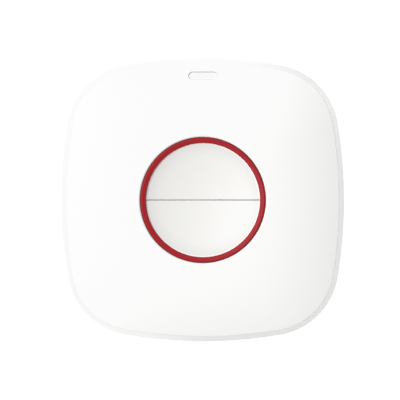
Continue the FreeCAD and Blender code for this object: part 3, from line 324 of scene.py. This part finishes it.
def finish(name, tones, roughness, group=grain, bump=0.1, depth=GRAIN_DEPTH, metallic=0.0,
           **settings):
    """Material with two tones, a roughness range and the bump of a shared group."""
    material = bpy.data.materials.new(name)
    material.use_nodes = True
    tree = material.node_tree
    shader = tree.nodes["Principled BSDF"]
    effect = tree.nodes.new("ShaderNodeGroup")
    effect.node_tree = group
    for label in ("Scale", "Stretch"):
        if label in settings:
            effect.inputs[label].default_value = settings.pop(label)
    mix = tree.nodes.new("ShaderNodeMix")
    mix.data_type = "RGBA"
    mix.inputs["A"].default_value = (*tones[0], 1.0)
    mix.inputs["B"].default_value = (*tones[1], 1.0)
    mottle = effect.outputs["Mottle"]
    tree.links.new(mottle, mix.inputs["Factor"])
    tree.links.new(mix.outputs["Result"], shader.inputs["Base Color"])
    tree.links.new(spread(tree, mottle, 0.0, 1.0, *roughness), shader.inputs["Roughness"])
    relief = tree.nodes.new("ShaderNodeBump")
    relief.inputs["Strength"].default_value = bump
    relief.inputs["Distance"].default_value = depth
    tree.links.new(effect.outputs["Height"], relief.inputs["Height"])
    tree.links.new(relief.outputs["Normal"], shader.inputs["Normal"])
    shader.inputs["Metallic"].default_value = metallic
    for label, value in settings.items():
        shader.inputs[label.replace("_", " ")].default_value = value
    return material


print("finish function ready")

# %% The visible plastics
white_moulding = finish(
    "white_moulding", [(0.865, 0.866, 0.868), (0.885, 0.886, 0.888)], (0.40, 0.48),
    bump=0.05, Scale=9000.0)
key_moulding = finish(
    "key_moulding", [(0.772, 0.769, 0.763), (0.792, 0.789, 0.783)], (0.50, 0.60),
    bump=0.25, Scale=7000.0)
crimson = finish(
    "crimson_bezel", [(0.322, 0.009, 0.015), (0.342, 0.011, 0.017)], (0.52, 0.58),
    bump=0.05, Scale=12000.0, Specular_IOR_Level=0.22)
milky = finish(
    "milky_guide", [(0.880, 0.886, 0.896), (0.900, 0.906, 0.916)], (0.25, 0.35),
    bump=0.03, Scale=6000.0, Transmission_Weight=0.1, IOR=1.49)
print("plastics:", white_moulding.name, key_moulding.name, crimson.name, milky.name)

# %% [markdown]
# ## Painted shade and highlight on the keys
# In the photograph the keys grow darker over the last few millimetres before the bezel,
# all the way round. On the real button the bezel shadows them there from every side.
# The lights here are wider and softer, so the material paints that shade into the keys:
# it scales their tone down by the distance from the middle of the button. Right at the
# bezel the rounded rim of the real keys catches a fine line of light, and the tone rises
# again for it, as a painted highlight. The distance is read from Object coordinates,
# with the height left out, so the painted shade and highlight stay with the keys when
# they are pressed.

# %% Distance from the middle of the button
def from_middle(tree):
    """Distance from the upright axis of the button, as a socket."""
    flat = tree.nodes.new("ShaderNodeVectorMath")
    flat.operation = "MULTIPLY"
    flat.inputs[1].default_value = (1.0, 1.0, 0.0)
    tree.links.new(tree.nodes.new("ShaderNodeTexCoord").outputs["Object"], flat.inputs[0])
    length = tree.nodes.new("ShaderNodeVectorMath")
    length.operation = "LENGTH"
    tree.links.new(flat.outputs[0], length.inputs[0])
    return length.outputs["Value"]


print("tool:", from_middle.__name__)

# %% Painted shade and highlight towards the rim of the keys
# Painted shade: the keys' base colour is scaled down towards the bezel, in place of its
# shadow.
RIM_SHADE_START = 0.0088
RIM_SHADE_END = 0.0124
RIM_SHADE = 0.92
# Painted highlight: the base colour rises again in a fine ring at the rounded rim.
RIM_HIGHLIGHT_START = 0.0117
RIM_HIGHLIGHT_END = 0.0120
RIM_HIGHLIGHT = 1.3

tree = key_moulding.node_tree
outwards = from_middle(tree)
painted_rim_shade = spread(tree, outwards, RIM_SHADE_START, RIM_SHADE_END, 1.0, RIM_SHADE, smooth=True)
painted_rim_highlight = spread(tree, outwards, RIM_HIGHLIGHT_START, RIM_HIGHLIGHT_END, 1.0, RIM_HIGHLIGHT)
toned = tree.nodes.new("ShaderNodeVectorMath")
toned.operation = "SCALE"
base = tree.nodes["Principled BSDF"].inputs["Base Color"]
tree.links.new(base.links[0].from_socket, toned.inputs[0])
tree.links.new(combine(tree, "MULTIPLY", painted_rim_shade, painted_rim_highlight), toned.inputs["Scale"])
tree.links.new(toned.outputs[0], base)
print("key shade from", RIM_SHADE_START * MM, "mm")
print("light line from", RIM_HIGHLIGHT_START * MM, "mm")

# %% [markdown]
# ## The outer edge of the bezel
# In the photograph the bezel is a little darker along its outer edge, on the side away
# from the light, because that edge is softly rounded. A second bump falls away towards
# the edge and bends the light there. It takes the fine grain's normal and passes both on.

# %% Soft outer edge of the bezel
EDGE_START = 0.01285
EDGE_END = 0.01365
EDGE_FALL = 0.0004

tree = crimson.node_tree
edge = tree.nodes.new("ShaderNodeBump")
edge.invert = True
edge.inputs["Strength"].default_value = 1.0
edge.inputs["Distance"].default_value = EDGE_FALL
edge_fall = spread(tree, from_middle(tree), EDGE_START, EDGE_END, 0.0, 1.0, smooth=True)
tree.links.new(edge_fall, edge.inputs["Height"])
normal = tree.nodes["Principled BSDF"].inputs["Normal"]
tree.links.new(normal.links[0].from_socket, edge.inputs["Normal"])
tree.links.new(edge.outputs["Normal"], normal)
print("bezel falls away from", EDGE_START * MM, "mm")

# %% [markdown]
# ## What the case hides
# The parts inside get their own finishes too, so that the model can be opened or taken
# apart: soft grey rubber, black and coloured mouldings, resin and ceramic on the board,
# and the metals of screws, springs, cans and the coin cell. The lined metals differ
# only in tone, gloss and how far the lines are drawn out.

# %% The hidden plastics and rubbers
FOAM_DEPTH = 0.00008

silicone = finish("grey_silicone", [(0.50, 0.51, 0.52), (0.56, 0.57, 0.58)], (0.55, 0.70),
                  bump=0.15, Scale=5000.0)
inner_moulding = finish("black_moulding", [(0.020, 0.020, 0.022), (0.030, 0.030, 0.032)],
                        (0.45, 0.60), bump=0.3, Scale=6000.0)
switch_moulding = finish("switch_moulding", [(0.018, 0.018, 0.020), (0.026, 0.026, 0.028)],
                         (0.30, 0.40), bump=0.1, Scale=9000.0)
plunger_moulding = finish("plunger_moulding", [(0.42, 0.09, 0.03), (0.46, 0.11, 0.04)],
                          (0.30, 0.40), bump=0.1, Scale=9000.0)
chip_resin = finish("chip_resin", [(0.022, 0.022, 0.024), (0.034, 0.034, 0.036)],
                    (0.55, 0.70), bump=0.5, Scale=12000.0)
chip_ceramic = finish("chip_ceramic", [(0.30, 0.20, 0.12), (0.38, 0.27, 0.17)],
                      (0.45, 0.60), bump=0.3, Scale=12000.0)
lamp_resin = finish("lamp_resin", [(0.80, 0.74, 0.40), (0.86, 0.80, 0.48)], (0.15, 0.25),
                    bump=0.05, Scale=9000.0, Transmission_Weight=0.2)
cushion_foam = finish("cushion_foam", [(0.016, 0.016, 0.017), (0.030, 0.030, 0.031)],
                      (0.85, 0.95), bump=0.9, depth=FOAM_DEPTH, Scale=4000.0)
print("hidden plastics made, such as", silicone.name, "and", cushion_foam.name)

# %% The metals and the board
screw_steel = finish("plated_steel", [(0.58, 0.58, 0.59), (0.66, 0.66, 0.67)], (0.28, 0.40),
                     lines, bump=0.3, metallic=1.0, Scale=5000.0, Stretch=0.3)
tinned_sheet = finish("tinned_sheet", [(0.60, 0.60, 0.58), (0.70, 0.70, 0.68)], (0.25, 0.42),
                      lines, bump=0.2, metallic=1.0, Scale=4000.0, Stretch=0.05)
spring_bronze = finish("spring_bronze", [(0.70, 0.55, 0.33), (0.78, 0.64, 0.42)], (0.22, 0.35),
                       lines, bump=0.2, metallic=1.0, Scale=4000.0, Stretch=0.05)
cell_can = finish("cell_can", [(0.62, 0.62, 0.61), (0.70, 0.70, 0.69)], (0.22, 0.34),
                  lines, bump=0.2, metallic=1.0, Scale=3000.0, Stretch=1.0)
capacitor_can = finish("capacitor_can", [(0.72, 0.72, 0.73), (0.80, 0.80, 0.81)],
                       (0.25, 0.35), lines, bump=0.2, metallic=1.0, Scale=4000.0, Stretch=0.1)
board_laminate = finish("board_laminate", [(0.010, 0.095, 0.040), (0.030, 0.190, 0.075)],
                        (0.22, 0.34), copper, bump=0.3, Coat_Weight=0.4)
print("metals and board made, such as", screw_steel.name, "and", board_laminate.name)

# %% [markdown]
# ## Dress the parts
# A part whose shape is right keeps its mesh and gets a better material: its slots are
# cleared and the new finish goes in.

# %% Which finish each part wears
FINISHES = {
    white_moulding: ("front_cover", "rear_cover", "battery_door"),
    crimson: ("bezel_ring",),
    key_moulding: ("upper_key", "lower_key"),
    milky: ("light_guide",),
    silicone: ("cover_gasket", "key_membrane", "door_seal"),
    inner_moulding: ("key_retainer", "battery_holder"),
    switch_moulding: ("upper_switch", "lower_switch"),
    plunger_moulding: ("upper_plunger", "lower_plunger"),
    chip_resin: ("control_chip",),
    chip_ceramic: ("small_parts",),
    lamp_resin: ("signal_lamp",),
    cushion_foam: ("battery_cushion",),
    screw_steel: ("cover_screws", "retainer_screws", "board_screws"),
    tinned_sheet: ("timing_crystal", "radio_shield"),
    spring_bronze: ("antenna_strip", "negative_contact", "positive_contact"),
    cell_can: ("coin_cell",),
    capacitor_can: ("bulk_capacitor",),
    board_laminate: ("circuit_board",),
}
dressed = 0
for material, names in FINISHES.items():
    for name in names:
        nodes[name].data.materials.clear()
        nodes[name].data.materials.append(material)
        dressed += 1
print("dressed", dressed, "of", len(nodes), "parts")

# %% [markdown]
# ## Floor
# The photograph's ground is a white that has burnt out. The floor is a wide glowing
# sheet, like the lit table that small things are photographed on. Its glow is darkened,
# as a painted shadow, only where the body all but touches it, which shows from the side
# as a fine dark line under the body. It lies a tenth of a millimetre under the body, so
# that no two faces coincide, and it is cut into cells, because rays that meet very large
# triangles lose precision.

# %% Floor sheet
FLOOR_SIZE = 3.0
FLOOR_CELLS = 15
FLOOR_DROP = 0.0001

floor_mesh = bpy.data.meshes.new("floor")
sheet = bmesh.new()
bmesh.ops.create_grid(
    sheet, x_segments=FLOOR_CELLS, y_segments=FLOOR_CELLS, size=FLOOR_SIZE / 2)
bmesh.ops.translate(sheet, verts=sheet.verts, vec=(0.0, 0.0, -FLOOR_DROP))
sheet.to_mesh(floor_mesh)
sheet.free()
floor = bpy.data.objects.new("floor", floor_mesh)
bpy.context.scene.collection.objects.link(floor)
print("floor:", FLOOR_SIZE, "m")

# %% [markdown]
# ## Cards round the body
# The sides of the body are lit by the sheet that it stands on, and in the photograph
# their tone changes round the outline. A photographer would lay cards there, so the
# sheet gives the body less light to the left, as a dark card would, and more light in
# three round patches, as white cards would. The camera sees none of them.

# %% How much light the sheet gives
FLOOR_GIVES = (0.65, 1.22)
CARD_EDGES = (-0.050, -0.022)
WHITE_CARDS = (
    ((-0.024, -0.048, 0.0), 0.028, 0.85),
    ((-0.004, 0.048, 0.0), 0.026, 0.6),
    ((0.041, 0.033, 0.0), 0.022, 0.5),
)

paper = bpy.data.materials.new("lit_table")
paper.use_nodes = True
tree = paper.node_tree
tree.nodes.remove(tree.nodes["Principled BSDF"])
spot = tree.nodes.new("ShaderNodeTexCoord").outputs["Object"]
parted = tree.nodes.new("ShaderNodeSeparateXYZ")
tree.links.new(spot, parted.inputs[0])
gives = spread(tree, parted.outputs["X"], *CARD_EDGES, *FLOOR_GIVES)
for centre, reach, extra in WHITE_CARDS:
    away = tree.nodes.new("ShaderNodeVectorMath")
    away.operation = "DISTANCE"
    away.inputs[1].default_value = centre
    tree.links.new(spot, away.inputs[0])
    card = spread(tree, away.outputs["Value"], 0.0, reach, extra, 0.0)
    gives = combine(tree, "ADD", gives, card)
print("sheet gives", FLOOR_GIVES, "and", len(WHITE_CARDS), "white cards more")

# %% [markdown]
# ## Light close to the sheet
# Close to a surface the sheet gives less light, because the body shades it there. What
# all but touches it gets a little of that back, or the screws and pockets of the back
# wouldn't stand out from below, where the sheet is see-through. The length of each ray
# tells how close the surface is.

# %% Less light from close by
CLOSE_REACH = 0.006
CLOSE_SHARE = 0.62
TOUCH_EDGES = (0.0003, 0.0008)
TOUCH_GAIN = 1.32

path = tree.nodes.new("ShaderNodeLightPath")
far = path.outputs["Ray Length"]
close = spread(tree, far, 0.0, CLOSE_REACH, CLOSE_SHARE, 1.0)
touching = spread(tree, far, *TOUCH_EDGES, TOUCH_GAIN, 1.0)
gives = combine(tree, "MULTIPLY", gives, combine(tree, "MULTIPLY", close, touching))
print("less light within", CLOSE_REACH * MM, "mm")

# %% How the sheet looks to the camera
FLOOR_SEEN = 1.5
# Painted shadow: ambient occlusion within this reach dims the glow that the camera sees.
CONTACT_SHADOW_REACH = 0.0012

contact_shadow = tree.nodes.new("ShaderNodeAmbientOcclusion")
contact_shadow.inputs["Distance"].default_value = CONTACT_SHADOW_REACH
choice = tree.nodes.new("ShaderNodeMix")
shows = combine(tree, "MULTIPLY", contact_shadow.outputs["AO"], FLOOR_SEEN)
tree.links.new(path.outputs["Is Camera Ray"], choice.inputs["Factor"])
tree.links.new(gives, choice.inputs["A"])
tree.links.new(shows, choice.inputs["B"])
glow = tree.nodes.new("ShaderNodeEmission")
tree.links.new(choice.outputs["Result"], glow.inputs["Strength"])
sides = tree.nodes.new("ShaderNodeMixShader")
tree.links.new(tree.nodes.new("ShaderNodeNewGeometry").outputs["Backfacing"], sides.inputs[0])
tree.links.new(glow.outputs[0], sides.inputs[1])
tree.links.new(tree.nodes.new("ShaderNodeBsdfTransparent").outputs[0], sides.inputs[2])
tree.links.new(sides.outputs[0], tree.nodes["Material Output"].inputs["Surface"])
floor_mesh.materials.append(paper)
print("sheet shows as", FLOOR_SEEN)
